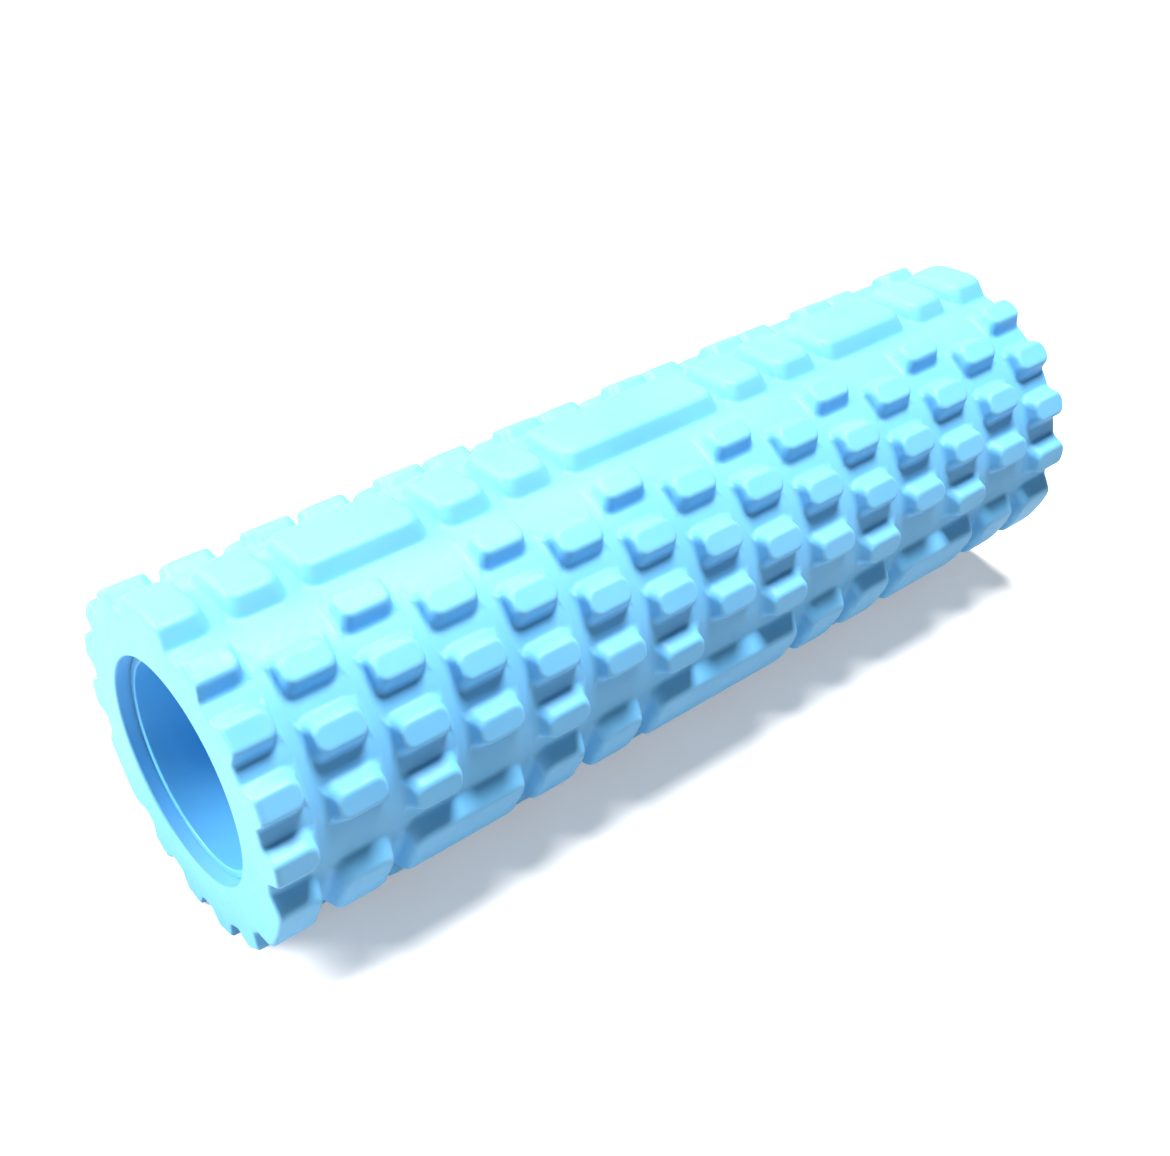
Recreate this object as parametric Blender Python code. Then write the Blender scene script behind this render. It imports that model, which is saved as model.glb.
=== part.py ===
"""Hollow foam massage roller: a moulded foam sleeve bonded on a plain core tube.

Units are metres and +Z is up. The roller lies along X, with its centre at the
origin and its front towards -Y. An angle around the roller is counted from
straight up (+Z) over the front (-Y), in degrees.

The sleeve's surface repeats three times around the roller. One repeat is a
field of small staggered blocks, and then a single row of larger pads.
"""
import math

import bmesh
import bpy
from mathutils import Vector
from mathutils.geometry import delaunay_2d_cdt

MM = 0.001

# Sleeve
LENGTH = 300 * MM
OUTER_RADIUS = 49.6 * MM
RELIEF = 4.8 * MM
VALLEY_RADIUS = OUTER_RADIUS - RELIEF
BOND_GAP = 0.3 * MM

# Core tube
TUBE_OUTER_RADIUS = 31.5 * MM
TUBE_WALL = 2.5 * MM
TUBE_RECESS = 4.0 * MM
TUBE_SIDES = 72
BORE_RADIUS = TUBE_OUTER_RADIUS + BOND_GAP

# Pattern along the roller: columns of blocks, the first and last cut by the ends.
# The end margins run from a column's centre to the end, in pitches.
COLUMNS = 15
LEFT_MARGIN = 0.25
RIGHT_MARGIN = 0.36
PITCH = LENGTH / (COLUMNS - 1 + LEFT_MARGIN + RIGHT_MARGIN)
BLOCK_CHANNEL = 5.4 * MM
BLOCK_INSET = 0.7 * MM
BLOCK_CORNER = 2.0 * MM
PAD_CHANNEL = 4.1 * MM
PAD_INSET = 1.1 * MM
PAD_CORNER = 2.4 * MM
PAD_LENGTHS = (1, 1, 2, 1, 1, 3, 1, 1, 2, 1, 1)

# Pattern around the roller, in degrees
REPEATS = 3
REPEAT_ANGLE = 360 / REPEATS
ROWS = 4
ROW_ANGLE = 20.9
BLOCK_ANGLE = 14.1
BLOCK_INSET_ANGLE = 3.0
FIELD_ANGLE = ROWS * ROW_ANGLE
PAD_CELL_ANGLE = REPEAT_ANGLE - FIELD_ANGLE
PAD_CHANNEL_ANGLE = 4.2
PAD_ANGLE = PAD_CELL_ANGLE - PAD_CHANNEL_ANGLE
PAD_INSET_ANGLE = 5.0
PAD_STRIPS = 4

# The third row of the lowest field faces straight down, so the roller rests on it
LOWEST_ROW = 2
FIRST_FIELD_ANGLE = 180 - REPEAT_ANGLE - (LOWEST_ROW - (ROWS - 1) / 2) * ROW_ANGLE

SAME_POINT = 0.001 * MM

FOAM_COLOUR = (0.22, 0.58, 0.90, 1.0)
FOAM_ROUGHNESS = 0.75
FOAM_SHARP_ANGLE = 25
TUBE_COLOUR = (0.10, 0.36, 0.62, 1.0)
TUBE_ROUGHNESS = 0.35
TUBE_SHARP_ANGLE = 30


def clear_scene():
    for old_object in list(bpy.data.objects):
        bpy.data.objects.remove(old_object, do_unlink=True)


def make_material(name, colour, roughness):
    material = bpy.data.materials.new(name)
    material.use_nodes = True
    shader = material.node_tree.nodes["Principled BSDF"]
    shader.inputs["Base Color"].default_value = colour
    shader.inputs["Roughness"].default_value = roughness
    shader.inputs["Metallic"].default_value = 0.0
    return material


def finish_object(name, mesh_builder, material, sharp_angle):
    bmesh.ops.recalc_face_normals(mesh_builder, faces=mesh_builder.faces)
    mesh = bpy.data.meshes.new(name)
    mesh_builder.to_mesh(mesh)
    mesh_builder.free()
    mesh.shade_smooth()
    mesh.set_sharp_from_angle(angle=math.radians(sharp_angle))
    mesh.materials.append(material)
    new_object = bpy.data.objects.new(name, mesh)
    bpy.context.collection.objects.link(new_object)
    return new_object


def column_position(column):
    """Distance along X of a column's centre; halves lie between two columns."""
    position = (column + LEFT_MARGIN) * PITCH - LENGTH / 2
    return max(-LENGTH / 2, min(LENGTH / 2, position))


def is_on_end(along):
    return abs(abs(along) - LENGTH / 2) < SAME_POINT


def arc_length(angle):
    return math.radians(angle) * OUTER_RADIUS


def on_roller(along, angle, radius):
    turn = math.radians(angle)
    return Vector((along, -radius * math.sin(turn), radius * math.cos(turn)))


class Pattern:
    """One repeat of the surface, unrolled flat: distance along X, then angle."""

    def __init__(self):
        self.points = []
        self.edges = []

    def add_point(self, along, angle, radius):
        self.points.append((along, angle, radius))
        return len(self.points) - 1

    def add_line(self, corners):
        added = [self.add_point(*corner) for corner in corners]
        self.edges += list(zip(added, added[1:]))
        return added

    def add_loop(self, corners):
        added = self.add_line(corners)
        self.edges.append((added[-1], added[0]))
        return added

    def triangulate(self):
        """Fill the whole repeat with triangles; return its points and its faces."""
        flat_points = [Vector((along, arc_length(angle))) for along, angle, _ in self.points]
        filled = delaunay_2d_cdt(flat_points, self.edges, [], 0, SAME_POINT)
        sources = filled[3]
        return [self.points[source[0]] for source in sources], filled[2]


def cut_corner_outline(start, end, low, high, corner, strips, end_strips):
    """Rectangle outline with cut corners, as (distance along X, angle) pairs.

    The two short sides are divided into strips, so that a wide shape can follow
    the roller's curve. A side that lies on the roller's end stays square.
    """
    corner_angle = math.degrees(corner / OUTER_RADIUS)
    outline = []
    for side, direction in ((start, 1), (end, -1)):
        at_end = is_on_end(side)
        cut = 0 if at_end else corner_angle
        count = end_strips if at_end else strips
        steps = [high - cut - (high - low - 2 * cut) * step / count for step in range(count + 1)]
        if direction < 0:
            steps.reverse()
        side_points = [(side, angle) for angle in steps]
        if not at_end:
            before = high if direction > 0 else low
            after = low if direction > 0 else high
            inner = side + direction * corner
            side_points = [(inner, before)] + side_points + [(inner, after)]
        outline += side_points
    return outline


def inset_side(side, inset):
    """Move a side towards the middle of its shape, unless the roller's end cuts it."""
    return side if is_on_end(side) else side + inset


def add_block(pattern, column, centre_angle):
    """A small block with a flat top."""
    half_length = (PITCH - BLOCK_CHANNEL) / 2
    start = max(column_position(column) - half_length, -LENGTH / 2)
    end = min(column_position(column) + half_length, LENGTH / 2)
    low = centre_angle - BLOCK_ANGLE / 2
    high = centre_angle + BLOCK_ANGLE / 2
    foot = cut_corner_outline(start, end, low, high, BLOCK_CORNER, 1, 1)
    pattern.add_loop([(along, angle, VALLEY_RADIUS) for along, angle in foot])
    top = cut_corner_outline(inset_side(start, BLOCK_INSET), inset_side(end, -BLOCK_INSET),
                             low + BLOCK_INSET_ANGLE, high - BLOCK_INSET_ANGLE, BLOCK_CORNER, 1, 1)
    top_height = OUTER_RADIUS * math.cos(math.radians(BLOCK_ANGLE / 2 - BLOCK_INSET_ANGLE))
    pattern.add_loop([(along, angle, top_height / math.cos(math.radians(angle - centre_angle)))
                      for along, angle in top])


def add_pad(pattern, first_column, length, centre_angle):
    """A pad as long as several columns, with a top that follows the roller's curve."""
    start = inset_side(column_position(first_column - 0.5), PAD_CHANNEL / 2)
    end = inset_side(column_position(first_column + length - 0.5), -PAD_CHANNEL / 2)
    low = centre_angle - PAD_ANGLE / 2
    high = centre_angle + PAD_ANGLE / 2
    foot = cut_corner_outline(start, end, low, high, PAD_CORNER, PAD_STRIPS, 1)
    pattern.add_loop([(along, angle, VALLEY_RADIUS) for along, angle in foot])
    top = cut_corner_outline(inset_side(start, PAD_INSET), inset_side(end, -PAD_INSET),
                             low + PAD_INSET_ANGLE, high - PAD_INSET_ANGLE,
                             PAD_CORNER, PAD_STRIPS, PAD_STRIPS)
    top_loop = pattern.add_loop([(along, angle, OUTER_RADIUS) for along, angle in top])
    # Lines along the top, from the points of one short side to those of the other
    middle = (start + end) / 2
    first_side = [point for point in top_loop if pattern.points[point][0] < middle]
    other_side = [point for point in top_loop if pattern.points[point][0] > middle]
    for point in first_side:
        angle = pattern.points[point][1]
        partner = min(other_side, key=lambda other: abs(pattern.points[other][1] - angle))
        pattern.edges.append((point, partner))


def build_repeat():
    """Lay out one repeat: a field of blocks around angle 0, then a row of pads."""
    pattern = Pattern()
    half_steps = [column_position(step / 2 - 0.5) for step in range(2 * COLUMNS + 1)]
    low = -FIELD_ANGLE / 2
    high = FIELD_ANGLE / 2
    outline = [(along, low, VALLEY_RADIUS) for along in half_steps]
    outline += [(along, low + REPEAT_ANGLE, VALLEY_RADIUS) for along in reversed(half_steps)]
    pattern.add_loop(outline)
    pattern.add_line([(along, high, VALLEY_RADIUS) for along in half_steps])

    for column in range(COLUMNS):
        rows = ROWS - column % 2
        for row in range(rows):
            add_block(pattern, column, (row - (rows - 1) / 2) * ROW_ANGLE)
        if column > 0:
            for half_row in range(1, 2 * ROWS):
                between = column_position(column - 0.5)
                pattern.add_point(between, low + half_row * ROW_ANGLE / 2, VALLEY_RADIUS)

    pad_centre = high + PAD_CELL_ANGLE / 2
    first_column = 0
    for length in PAD_LENGTHS:
        add_pad(pattern, first_column, length, pad_centre)
        first_column += length
        if first_column < COLUMNS:
            for strip in range(1, PAD_STRIPS):
                angle = high + PAD_CELL_ANGLE * strip / PAD_STRIPS
                pattern.add_point(column_position(first_column - 0.5), angle, VALLEY_RADIUS)
    return pattern.triangulate()


def build_foam_sleeve():
    points, faces = build_repeat()
    sleeve = bmesh.new()
    ends = {-1: [], 1: []}
    for repeat in range(REPEATS):
        turn = FIRST_FIELD_ANGLE + repeat * REPEAT_ANGLE
        placed = [sleeve.verts.new(on_roller(along, turn + angle, radius))
                  for along, angle, radius in points]
        for face in faces:
            sleeve.faces.new([placed[corner] for corner in face])
        for vertex, (along, angle, _) in zip(placed, points):
            if is_on_end(along):
                ends[round(along / abs(along))].append((turn + angle, vertex))

    # Each end is a flat ring from the outline in to the bore
    bore_rims = []
    for side, rim in ends.items():
        rim.sort(key=lambda entry: entry[0])
        bore_rim = [sleeve.verts.new(on_roller(side * LENGTH / 2, angle, BORE_RADIUS))
                    for angle, _ in rim]
        outer_rim = [vertex for _, vertex in rim]
        join_rims(sleeve, outer_rim, bore_rim)
        bore_rims.append(bore_rim)
    join_rims(sleeve, *bore_rims)
    bmesh.ops.dissolve_degenerate(sleeve, edges=sleeve.edges, dist=SAME_POINT)
    bmesh.ops.remove_doubles(sleeve, verts=sleeve.verts, dist=SAME_POINT)
    return sleeve


def join_rims(sleeve, rim_a, rim_b):
    """Join two rims, given in the same order, with a closed band of four-sided faces."""
    count = len(rim_a)
    for index in range(count):
        following = (index + 1) % count
        corners = [rim_a[index], rim_a[following], rim_b[following], rim_b[index]]
        if (corners[0].co - corners[1].co).length > SAME_POINT:
            sleeve.faces.new(corners)


def build_core_tube():
    half_length = LENGTH / 2 - TUBE_RECESS
    inner_radius = TUBE_OUTER_RADIUS - TUBE_WALL
    profile = [(-half_length, inner_radius), (half_length, inner_radius),
               (half_length, TUBE_OUTER_RADIUS), (-half_length, TUBE_OUTER_RADIUS)]
    tube = bmesh.new()
    corners = [tube.verts.new((along, 0, radius)) for along, radius in profile]
    edges = [tube.edges.new((corners[index - 1], corners[index])) for index in range(len(corners))]
    bmesh.ops.spin(tube, geom=corners + edges, cent=(0, 0, 0), axis=(1, 0, 0), dvec=(0, 0, 0),
                   angle=math.tau, steps=TUBE_SIDES, use_merge=True)
    bmesh.ops.remove_doubles(tube, verts=tube.verts, dist=SAME_POINT)
    return tube


def build_roller():
    clear_scene()
    foam = make_material("foam", FOAM_COLOUR, FOAM_ROUGHNESS)
    tube_plastic = make_material("tube_plastic", TUBE_COLOUR, TUBE_ROUGHNESS)
    finish_object("foam_sleeve", build_foam_sleeve(), foam, FOAM_SHARP_ANGLE)
    finish_object("core_tube", build_core_tube(), tube_plastic, TUBE_SHARP_ANGLE)


build_roller()
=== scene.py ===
"""Looks of the hollow foam roller: the moulded sleeve, its core tube, a floor, light and a camera.

The roller lies along X with its centre at the origin. An angle around it is counted
from straight up (+Z) over the front (-Y). Lengths are metres.
"""
import math

import bpy
import numpy as np
from mathutils import Euler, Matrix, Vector


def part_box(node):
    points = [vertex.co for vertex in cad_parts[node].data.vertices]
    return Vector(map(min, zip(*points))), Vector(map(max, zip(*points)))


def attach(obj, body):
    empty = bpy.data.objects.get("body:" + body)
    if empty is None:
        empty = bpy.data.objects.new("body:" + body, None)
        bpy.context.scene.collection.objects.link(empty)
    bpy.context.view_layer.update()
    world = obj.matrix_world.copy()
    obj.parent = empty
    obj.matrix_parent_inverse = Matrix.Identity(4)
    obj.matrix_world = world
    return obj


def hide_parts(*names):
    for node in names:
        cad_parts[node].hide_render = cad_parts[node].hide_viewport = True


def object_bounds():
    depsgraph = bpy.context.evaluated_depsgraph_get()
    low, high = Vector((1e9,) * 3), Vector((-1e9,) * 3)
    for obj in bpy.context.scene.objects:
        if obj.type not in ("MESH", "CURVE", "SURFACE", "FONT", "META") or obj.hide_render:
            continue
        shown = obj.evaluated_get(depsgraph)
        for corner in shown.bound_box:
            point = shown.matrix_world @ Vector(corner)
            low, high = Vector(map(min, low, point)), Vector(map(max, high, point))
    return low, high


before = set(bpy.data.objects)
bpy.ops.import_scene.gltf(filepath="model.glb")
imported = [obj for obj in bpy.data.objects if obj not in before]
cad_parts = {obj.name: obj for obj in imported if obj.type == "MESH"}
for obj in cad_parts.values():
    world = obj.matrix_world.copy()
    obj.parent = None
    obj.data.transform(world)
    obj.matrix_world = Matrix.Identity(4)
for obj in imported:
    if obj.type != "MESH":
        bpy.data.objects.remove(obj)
cad_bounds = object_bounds()

MM = 0.001

# Sizes that come from the frame
SLEEVE_LOW, SLEEVE_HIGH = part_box("foam_sleeve")
TUBE_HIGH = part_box("core_tube")[1]
LENGTH = SLEEVE_HIGH.x - SLEEVE_LOW.x
TUBE_RADIUS = TUBE_HIGH.z

# Radial sizes that a box doesn't show
OUTER_RADIUS = 49.6 * MM
BOND_GAP = 0.3 * MM
BORE_RADIUS = TUBE_RADIUS + BOND_GAP
TUBE_WALL = 2.5 * MM

# Relief of the sleeve
RELIEF = 4.8 * MM
VALLEY_RADIUS = OUTER_RADIUS - RELIEF
FOOT_FILLET = 2.0 * MM
BLOCK_ROUNDING = 1.6 * MM
PAD_ROUNDING = 2.8 * MM
BLOCK_CORNER = 3.0 * MM
PAD_CORNER = 4.0 * MM
END_ROUNDING = 1.2 * MM
BORE_ROUNDING = 0.8 * MM
TUBE_ROUNDING = 0.4 * MM

# Pattern along the roller: columns of blocks, the first and last cut by the ends.
# The end margins run from a column's centre to the end, in pitches.
COLUMNS = 15
LEFT_MARGIN = 0.25
RIGHT_MARGIN = 0.36
PITCH = LENGTH / (COLUMNS - 1 + LEFT_MARGIN + RIGHT_MARGIN)
BLOCK_CHANNEL = 5.4 * MM
BLOCK_WALL = 0.7 * MM
PAD_CHANNEL = 4.1 * MM
PAD_WALL = 1.1 * MM
PAD_LENGTHS = (1, 1, 2, 1, 1, 3, 1, 1, 2, 1, 1)

# Pattern around the roller, in degrees
REPEATS = 3
REPEAT_ANGLE = 360 / REPEATS
ROWS = 4
ROW_ANGLE = 20.9
BLOCK_ANGLE = 14.1
BLOCK_WALL_ANGLE = 3.0
FIELD_ANGLE = ROWS * ROW_ANGLE
PAD_CHANNEL_ANGLE = 4.2
PAD_ANGLE = REPEAT_ANGLE - FIELD_ANGLE - PAD_CHANNEL_ANGLE
PAD_WALL_ANGLE = 5.0
FILLET_ANGLE = 2.5

# The third row of the lowest field faces straight down, so the roller rests on it
LOWEST_ROW = 2
FIRST_FIELD_ANGLE = 180 - REPEAT_ANGLE - (LOWEST_ROW - (ROWS - 1) / 2) * ROW_ANGLE

# Fineness of the meshes
LINES_AROUND = 720
WALL_LINES = 15
TOP_LINES = 8
ROUNDING_LINES = 5
RING_LINES = 8
BORE_LINES = 24
TUBE_LINES_AROUND = 180
END_CLEARANCE = 0.1 * MM


# ---------------------------------------------------------------- sleeve shape

def arc(angle):
    """Length along the outer circle of an angle in degrees."""
    return math.radians(angle) * OUTER_RADIUS


def column_position(column):
    """Distance along X of a column's centre; halves lie between two columns."""
    return (column + LEFT_MARGIN) * PITCH - LENGTH / 2


def section_height(outside, wall, rounding):
    """Height of a drafted wall's section, at a distance outside its foot line.

    The wall rises over the width wall. A fillet joins it to the valley, and a
    rounding joins it to the top.
    """
    slope = np.arctan2(RELIEF, wall)
    height = np.clip(-outside / wall, 0, 1) * RELIEF
    reach = FOOT_FILLET * np.tan(slope / 2)
    in_fillet = (outside > -reach * np.cos(slope)) & (outside < reach)
    run = np.clip(reach - outside, 0, FOOT_FILLET)
    height = np.where(in_fillet, FOOT_FILLET - np.sqrt(FOOT_FILLET ** 2 - run ** 2), height)
    inside = -outside - wall
    reach = rounding * np.tan(slope / 2)
    in_rounding = (inside > -reach * np.cos(slope)) & (inside < reach)
    run = np.clip(reach - inside, 0, rounding)
    rounded = RELIEF - rounding + np.sqrt(rounding ** 2 - run ** 2)
    return np.where(in_rounding, rounded, height)


def drafted_height(along, around, half_along, half_around, shape):
    """Height of a block whose four drafted sides meet in round corners of one radius.

    The shape holds the widths of the walls along and around the roller, the radius
    of the corners and the radius of the top edges.
    """
    wall_along, wall_around, corner, rounding = shape
    share_along = (half_along - np.abs(along)) / wall_along
    share_around = (half_around - np.abs(around)) / wall_around
    share = np.minimum(share_along, share_around)
    wall = np.where(share_along < share_around, wall_along, wall_around)

    past_along = np.abs(along) - half_along + corner
    past_around = np.abs(around) - half_around + corner
    in_corner = (past_along + wall_along * share > 0) & (past_around + wall_around * share > 0)
    square = wall_along ** 2 + wall_around ** 2
    mixed = past_along * wall_along + past_around * wall_around
    rest = past_along ** 2 + past_around ** 2 - corner ** 2
    corner_share = (-mixed + np.sqrt(np.maximum(mixed ** 2 - square * rest, 0))) / square
    normal_along = (past_along + wall_along * corner_share) / corner
    normal_around = (past_around + wall_around * corner_share) / corner
    corner_wall = wall_along * normal_along + wall_around * normal_around
    share = np.where(in_corner, corner_share, share)
    wall = np.where(in_corner, np.maximum(corner_wall, wall_along), wall)
    return section_height(-share * wall, wall, rounding)


class SleeveSurface:
    """Radius of the sleeve's outer surface on a grid of positions and angles."""

    def __init__(self, positions, angles):
        self.positions = positions
        self.angles = angles
        self.radius = np.full((len(positions), len(angles)), VALLEY_RADIUS)

    def raise_shape(self, shape, centre, centre_angle, length, angle, flat_half_angle):
        """Raise one block or pad.

        flat_half_angle is half the width of a flat top, and 0 for a top that follows
        the roller's curve.
        """
        half_length = length / 2
        rows = np.nonzero(np.abs(self.positions - centre) < half_length + FOOT_FILLET)[0]
        turn = (self.angles - centre_angle + 180) % 360 - 180
        columns = np.nonzero(np.abs(turn) < angle / 2 + FILLET_ANGLE)[0]
        along = (self.positions[rows] - centre)[:, None]
        around = arc(1) * turn[columns][None, :]
        height = drafted_height(along, around, half_length, arc(angle / 2), shape)
        top_radius = OUTER_RADIUS
        if flat_half_angle > 0:
            within = np.clip(turn[columns], -flat_half_angle, flat_half_angle)
            chord_distance = OUTER_RADIUS * math.cos(math.radians(flat_half_angle))
            top_radius = (chord_distance / np.cos(np.radians(within)))[None, :]
        raised = VALLEY_RADIUS + height / RELIEF * (top_radius - VALLEY_RADIUS)
        window = np.ix_(rows, columns)
        self.radius[window] = np.maximum(self.radius[window], raised)

    def add_field(self, field_angle):
        """Staggered small blocks: four rows on even columns and three on odd ones."""
        shape = (BLOCK_WALL, arc(BLOCK_WALL_ANGLE), BLOCK_CORNER, BLOCK_ROUNDING)
        length = PITCH - BLOCK_CHANNEL
        flat_half_angle = BLOCK_ANGLE / 2 - BLOCK_WALL_ANGLE
        for column in range(COLUMNS):
            centre = column_position(column)
            rows = ROWS - column % 2
            for row in range(rows):
                angle = field_angle + (row - (rows - 1) / 2) * ROW_ANGLE
                self.raise_shape(shape, centre, angle, length, BLOCK_ANGLE, flat_half_angle)

    def add_pads(self, pad_angle):
        """One row of pads, each one to three columns long."""
        shape = (PAD_WALL, arc(PAD_WALL_ANGLE), PAD_CORNER, PAD_ROUNDING)
        first_column = 0
        for columns in PAD_LENGTHS:
            centre = column_position(first_column + (columns - 1) / 2)
            length = columns * PITCH - PAD_CHANNEL
            self.raise_shape(shape, centre, pad_angle, length, PAD_ANGLE, 0)
            first_column += columns


def axial_lines():
    """Positions along the roller, close together on the walls that face its ends."""
    wall_start = (PITCH - BLOCK_CHANNEL) / 2 - BLOCK_WALL - PAD_ROUNDING
    half_cell = np.concatenate([
        np.linspace(0, wall_start, TOP_LINES // 2, endpoint=False),
        np.linspace(wall_start, PITCH / 2, WALL_LINES, endpoint=False),
    ])
    cell = np.concatenate([-half_cell[:0:-1], half_cell, [PITCH / 2]])
    lines = np.concatenate([column_position(column) + cell for column in range(COLUMNS)])
    limit = LENGTH / 2 - END_ROUNDING
    return np.sort(lines[np.abs(lines) < limit - END_CLEARANCE])


def rounding_steps(count):
    """Angles from 0 to a quarter turn, the last one left out."""
    return np.linspace(0, math.pi / 2, count, endpoint=False)


def sleeve_section():
    """The sleeve's closed section as rows of (position, radius around the roller)."""
    angles = np.arange(LINES_AROUND) * 360 / LINES_AROUND
    quarter = rounding_steps(ROUNDING_LINES)
    end = LENGTH / 2
    left_edge = -end + END_ROUNDING * (1 - np.cos(quarter))
    edge_drop = END_ROUNDING * (1 - np.sin(quarter))
    middle = axial_lines()
    positions = np.concatenate([left_edge, middle, -left_edge[::-1]])
    drop = np.concatenate([edge_drop, np.zeros(len(middle)), edge_drop[::-1]])

    surface = SleeveSurface(positions, angles)
    for repeat in range(REPEATS):
        field_angle = FIRST_FIELD_ANGLE + repeat * REPEAT_ANGLE
        surface.add_field(field_angle)
        surface.add_pads(field_angle + REPEAT_ANGLE / 2)
    outer = surface.radius - drop[:, None]

    bore_edge = BORE_RADIUS + BORE_ROUNDING
    shares = np.linspace(0, 1, RING_LINES + 2)[1:-1, None]
    right_ring = outer[-1] * (1 - shares) + bore_edge * shares
    left_ring = outer[0] * shares + bore_edge * (1 - shares)
    bore_quarter = np.append(quarter, math.pi / 2)
    mouth = BORE_ROUNDING * (1 - np.cos(bore_quarter))
    mouth_radius = bore_edge - BORE_ROUNDING * np.sin(bore_quarter)
    inner = np.linspace(end - BORE_ROUNDING, -end + BORE_ROUNDING, BORE_LINES + 2)[1:-1]

    round_ones = np.ones(LINES_AROUND)
    rows_x = np.concatenate([
        positions, np.full(RING_LINES, end), end - mouth, inner, -end + mouth[::-1],
        np.full(RING_LINES, -end),
    ])
    rows_r = np.concatenate([
        outer, right_ring, mouth_radius[:, None] * round_ones,
        np.full((BORE_LINES, LINES_AROUND), BORE_RADIUS),
        mouth_radius[::-1, None] * round_ones, left_ring,
    ])
    return rows_x, rows_r, angles


def mesh_from_section(name, rows_x, rows_r, angles):
    """Closed ring-shaped mesh from a closed section, given at each angle."""
    turn = np.radians(angles)[None, :]
    count, around = rows_r.shape
    points = np.empty((count, around, 3), np.float32)
    points[:, :, 0] = rows_x[:, None]
    points[:, :, 1] = -rows_r * np.sin(turn)
    points[:, :, 2] = rows_r * np.cos(turn)
    index = np.arange(count * around).reshape(count, around)
    after = np.roll(index, -1, axis=0)
    faces = np.stack([index, np.roll(index, -1, axis=1), np.roll(after, -1, axis=1), after], axis=-1)
    mesh = bpy.data.meshes.new(name)
    mesh.vertices.add(count * around)
    mesh.vertices.foreach_set("co", points.ravel())
    mesh.loops.add(faces.size)
    mesh.loops.foreach_set("vertex_index", faces.ravel().astype(np.int32))
    mesh.polygons.add(count * around)
    mesh.polygons.foreach_set("loop_start", np.arange(0, faces.size, 4, dtype=np.int32))
    mesh.update(calc_edges=True)
    mesh.validate()
    mesh.shade_smooth()
    return mesh


def add_piece(name, mesh, material, node):
    """Put a piece in the scene in place of its CAD node."""
    mesh.materials.append(material)
    piece = bpy.data.objects.new(name, mesh)
    bpy.context.scene.collection.objects.link(piece)
    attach(piece, "root")
    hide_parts(node)
    return piece


def build_sleeve(material):
    rows_x, rows_r, angles = sleeve_section()
    mesh = mesh_from_section("foam_sleeve_surface", rows_x, rows_r, angles)
    return add_piece("foam_sleeve_surface", mesh, material, "foam_sleeve")


# ---------------------------------------------------------------- core tube

def build_tube(material):
    """Plain tube with a small rounding on each rim."""
    quarter = np.append(rounding_steps(ROUNDING_LINES), math.pi / 2)
    end = TUBE_HIGH.x
    corner = end - TUBE_ROUNDING
    outer_x = corner + TUBE_ROUNDING * np.sin(quarter)
    outer_r = TUBE_RADIUS - TUBE_ROUNDING * (1 - np.cos(quarter))
    inner_radius = TUBE_RADIUS - TUBE_WALL
    inner_x = outer_x[::-1]
    inner_r = inner_radius + TUBE_ROUNDING * (1 - np.cos(quarter[::-1]))
    half_x = np.concatenate([outer_x, inner_x])
    half_r = np.concatenate([outer_r, inner_r])
    rows_x = np.concatenate([half_x, -half_x[::-1]])
    radii = np.concatenate([half_r, half_r[::-1]])
    angles = np.arange(TUBE_LINES_AROUND) * 360 / TUBE_LINES_AROUND
    rows_r = radii[:, None] * np.ones(TUBE_LINES_AROUND)
    mesh = mesh_from_section("core_tube_body", rows_x, rows_r, angles)
    return add_piece("core_tube_body", mesh, material, "core_tube")


# ---------------------------------------------------------------- materials

FOAM_BLUE = (0.145, 0.47, 0.80, 1.0)
FOAM_LIGHT_BLUE = (0.17, 0.505, 0.83, 1.0)
FOAM_EDGE_BLUE = (0.28, 0.62, 0.88, 1.0)
TUBE_BLUE = (0.10, 0.42, 0.75, 1.0)
TUBE_LIGHT_BLUE = (0.12, 0.46, 0.79, 1.0)
FLOOR_PALE = (0.84, 0.82, 0.80, 1.0)
FLOOR_PALER = (0.86, 0.84, 0.82, 1.0)
FLOOR_GREY = (0.60, 0.60, 0.60, 1.0)
FLOOR_GLOW = 0.36


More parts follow.
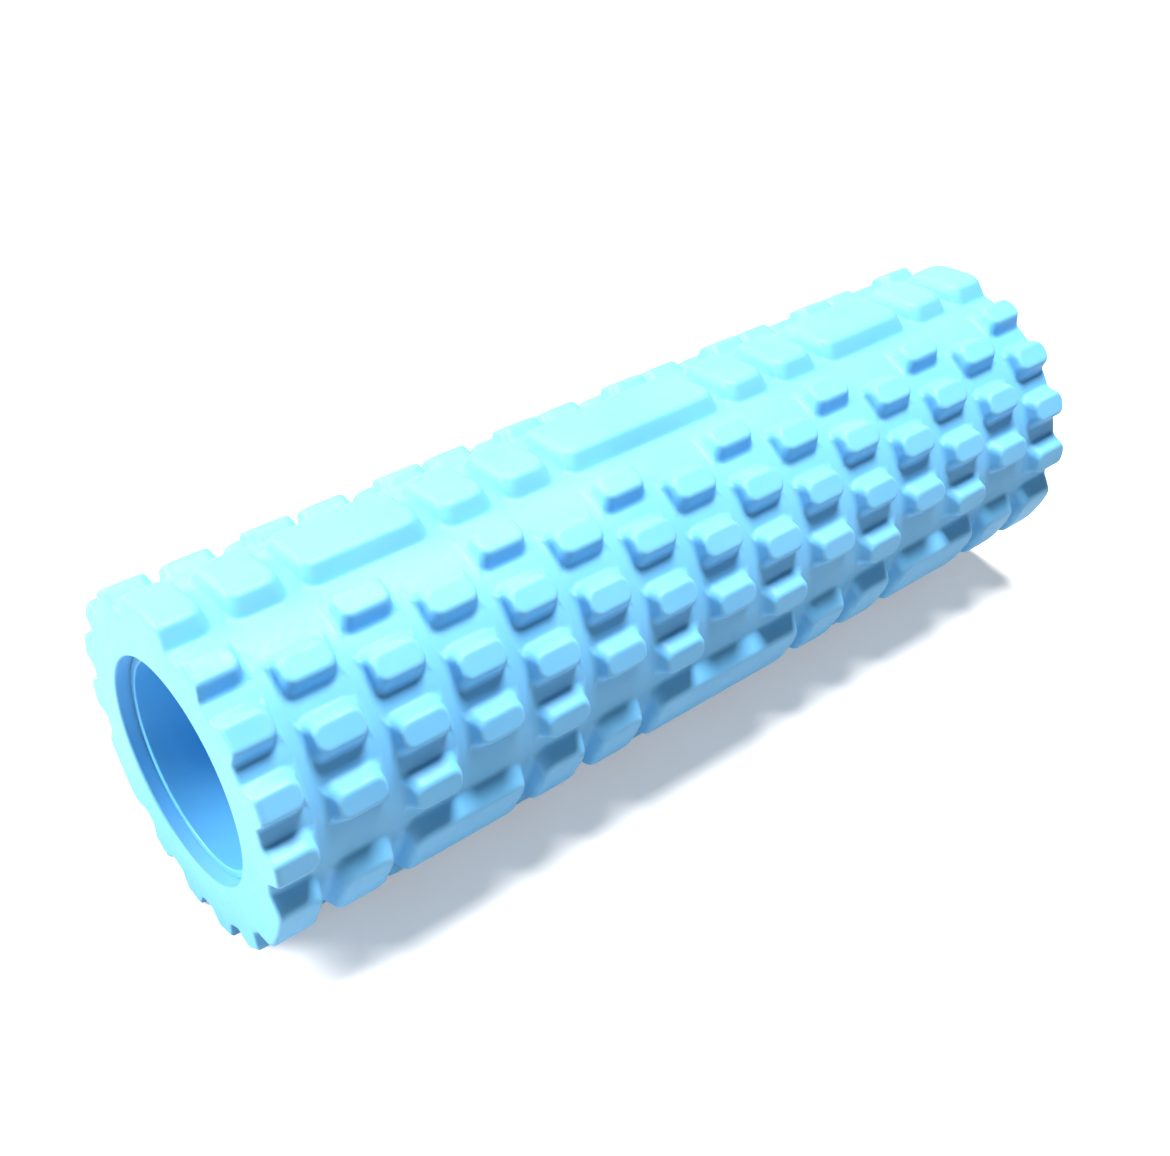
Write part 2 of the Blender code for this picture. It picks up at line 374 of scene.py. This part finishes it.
class NodeMaterial:
    """A Principled material and short calls that add and join its nodes."""

    def __init__(self, name):
        self.material = bpy.data.materials.new(name)
        self.material.use_nodes = True
        self.tree = self.material.node_tree
        self.shader = self.tree.nodes["Principled BSDF"]
        self.place = self.add("ShaderNodeTexCoord").outputs["Object"]

    def add(self, kind, **settings):
        node = self.tree.nodes.new(kind)
        for key, value in settings.items():
            setattr(node, key, value)
        return node

    def join(self, source, target):
        self.tree.links.new(source, target)

    def stretched(self, scale):
        """The place, scaled by its own factor along each axis."""
        node = self.add("ShaderNodeMapping")
        node.inputs["Scale"].default_value = scale
        self.join(self.place, node.inputs["Vector"])
        return node.outputs["Vector"]

    def noise(self, scale, detail=2.0, place=None):
        node = self.add("ShaderNodeTexNoise")
        node.inputs["Scale"].default_value = scale
        node.inputs["Detail"].default_value = detail
        self.join(place or self.place, node.inputs["Vector"])
        return node.outputs["Fac"]

    def cells(self, scale):
        node = self.add("ShaderNodeTexVoronoi")
        node.inputs["Scale"].default_value = scale
        self.join(self.place, node.inputs["Vector"])
        return node.outputs["Distance"]

    def spread(self, value, low, high, to_low, to_high):
        """Map the range from low to high onto the one from to_low to to_high."""
        node = self.add("ShaderNodeMapRange")
        node.inputs["From Min"].default_value = low
        node.inputs["From Max"].default_value = high
        node.inputs["To Min"].default_value = to_low
        node.inputs["To Max"].default_value = to_high
        self.join(value, node.inputs["Value"])
        return node.outputs["Result"]

    def mix(self, amount, first, second):
        """Blend two colours, each one fixed or the output of a node."""
        node = self.add("ShaderNodeMix", data_type="RGBA")
        self.join(amount, node.inputs["Factor"])
        for socket, colour in ((node.inputs["A"], first), (node.inputs["B"], second)):
            if hasattr(colour, "is_output"):
                self.join(colour, socket)
            else:
                socket.default_value = colour
        return node.outputs["Result"]

    def bump(self, height, distance, strength, below=None):
        """Bump from a height, on top of the bump below if there is one."""
        node = self.add("ShaderNodeBump")
        node.inputs["Distance"].default_value = distance
        node.inputs["Strength"].default_value = strength
        self.join(height, node.inputs["Height"])
        if below is not None:
            self.join(below, node.inputs["Normal"])
        return node.outputs["Normal"]


def foam_material():
    """Light blue closed-cell foam: a fine skin grain, faint mottling, paler worn edges."""
    foam = NodeMaterial("foam")
    mottle = foam.spread(foam.noise(28.0, 4.0), 0.35, 0.65, 0.0, 1.0)
    colour = foam.mix(mottle, FOAM_BLUE, FOAM_LIGHT_BLUE)
    pointiness = foam.add("ShaderNodeNewGeometry").outputs["Pointiness"]
    edge = foam.spread(pointiness, 0.52, 0.60, 0.0, 0.35)
    colour = foam.mix(edge, colour, FOAM_EDGE_BLUE)
    foam.join(colour, foam.shader.inputs["Base Color"])
    rough = foam.spread(foam.noise(420.0, 3.0), 0.3, 0.7, 0.42, 0.58)
    foam.join(rough, foam.shader.inputs["Roughness"])
    grain = foam.bump(foam.noise(2200.0, 3.0), 0.05 * MM, 0.35)
    pores = foam.bump(foam.cells(900.0), 0.04 * MM, 0.25, grain)
    ripple = foam.bump(foam.noise(120.0, 2.0), 0.4 * MM, 0.25, pores)
    foam.join(ripple, foam.shader.inputs["Normal"])
    foam.shader.inputs["Specular IOR Level"].default_value = 0.28
    foam.shader.inputs["Sheen Weight"].default_value = 0.05
    foam.shader.inputs["Sheen Roughness"].default_value = 0.5
    return foam.material


def tube_material():
    """Satin plastic with faint drawing lines along the tube."""
    tube = NodeMaterial("tube_plastic")
    mottle = tube.spread(tube.noise(40.0, 3.0), 0.35, 0.65, 0.0, 1.0)
    colour = tube.mix(mottle, TUBE_BLUE, TUBE_LIGHT_BLUE)
    tube.join(colour, tube.shader.inputs["Base Color"])
    lines = tube.noise(900.0, 2.0, tube.stretched((0.02, 1.0, 1.0)))
    rough = tube.spread(lines, 0.3, 0.7, 0.32, 0.46)
    tube.join(rough, tube.shader.inputs["Roughness"])
    tube.join(tube.bump(lines, 0.05 * MM, 0.25), tube.shader.inputs["Normal"])
    return tube.material


def floor_material():
    """Pale matt floor, grey to all but the camera, so that it throws less light on the roller."""
    floor = NodeMaterial("pale_floor")
    seen = floor.add("ShaderNodeLightPath").outputs["Is Camera Ray"]
    tone = floor.spread(floor.noise(3.0, 2.0), 0.3, 0.7, 0.0, 1.0)
    pale = floor.mix(tone, FLOOR_PALE, FLOOR_PALER)
    floor.join(floor.mix(seen, FLOOR_GREY, pale), floor.shader.inputs["Base Color"])
    floor.shader.inputs["Roughness"].default_value = 0.9
    floor.shader.inputs["Specular IOR Level"].default_value = 0.1
    floor.shader.inputs["Emission Color"].default_value = (1.0, 1.0, 1.0, 1.0)
    glow = floor.spread(seen, 0.0, 1.0, 0.0, FLOOR_GLOW)
    floor.join(glow, floor.shader.inputs["Emission Strength"])
    return floor.material


# ---------------------------------------------------------------- floor, light, camera

FLOOR_SIZE = 6.0
FLOOR_DROP = 0.2 * MM

FILL_COLOUR = (0.97, 0.985, 1.0, 1.0)
FILL_STRENGTH = 0.08

# The camera looks along CAMERA_AIM at CAMERA_TARGET, from CAMERA_DISTANCE away,
# turned about its line of sight by CAMERA_ROLL degrees. LENS is in millimetres.
CAMERA_TARGET = Vector((-0.0174, -0.0007, 0.0))
CAMERA_AIM = Vector((0.5224, 0.5551, -0.6473))
CAMERA_DISTANCE = 0.4449
CAMERA_ROLL = -5.52
LENS = 46.3


def add_floor():
    """Square floor just under the roller's lowest blocks."""
    half = FLOOR_SIZE / 2
    level = cad_bounds[0][2] - FLOOR_DROP
    corners = [(-half, -half, level), (half, -half, level), (half, half, level), (-half, half, level)]
    mesh = bpy.data.meshes.new("floor")
    mesh.from_pydata(corners, [], [(0, 1, 2, 3)])
    mesh.materials.append(floor_material())
    floor = bpy.data.objects.new("floor", mesh)
    bpy.context.scene.collection.objects.link(floor)


def add_area_light(name, location, target, size, power):
    """Round white area light that faces its target; the power is in watts."""
    data = bpy.data.lights.new(name, "AREA")
    data.shape = "DISK"
    data.size = size
    data.energy = power
    light = bpy.data.objects.new(name, data)
    light.location = location
    light.rotation_euler = (Vector(target) - Vector(location)).to_track_quat("-Z", "Y").to_euler()
    bpy.context.scene.collection.objects.link(light)


def add_light():
    """Dim fill light all round, a softbox almost straight overhead and a light on the open near end."""
    world = bpy.data.worlds.new("studio")
    world.use_nodes = True
    background = world.node_tree.nodes["Background"]
    background.inputs["Color"].default_value = FILL_COLOUR
    background.inputs["Strength"].default_value = FILL_STRENGTH
    bpy.context.scene.world = world
    add_area_light("overhead_softbox", (0.12, 0.04, 1.2), (0, 0, 0), 0.45, 32.0)
    add_area_light("near_end_light", (-0.9, 0.55, 0.5), (-0.05, 0, 0), 0.5, 22.0)


def add_camera():
    data = bpy.data.cameras.new("camera")
    data.lens = LENS
    data.clip_start = 0.01
    camera = bpy.data.objects.new("camera", data)
    aim = CAMERA_AIM.normalized()
    camera.location = CAMERA_TARGET - aim * CAMERA_DISTANCE
    turn = aim.to_track_quat("-Z", "Y").to_matrix().to_4x4()
    roll = Euler((0, 0, math.radians(-CAMERA_ROLL))).to_matrix().to_4x4()
    camera.rotation_euler = (turn @ roll).to_euler()
    bpy.context.scene.collection.objects.link(camera)
    bpy.context.scene.camera = camera


def build_scene():
    build_sleeve(foam_material())
    build_tube(tube_material())
    add_floor()
    add_light()
    add_camera()
    bpy.context.scene.view_settings.view_transform = "Standard"


build_scene()

bpy.context.view_layer.update()
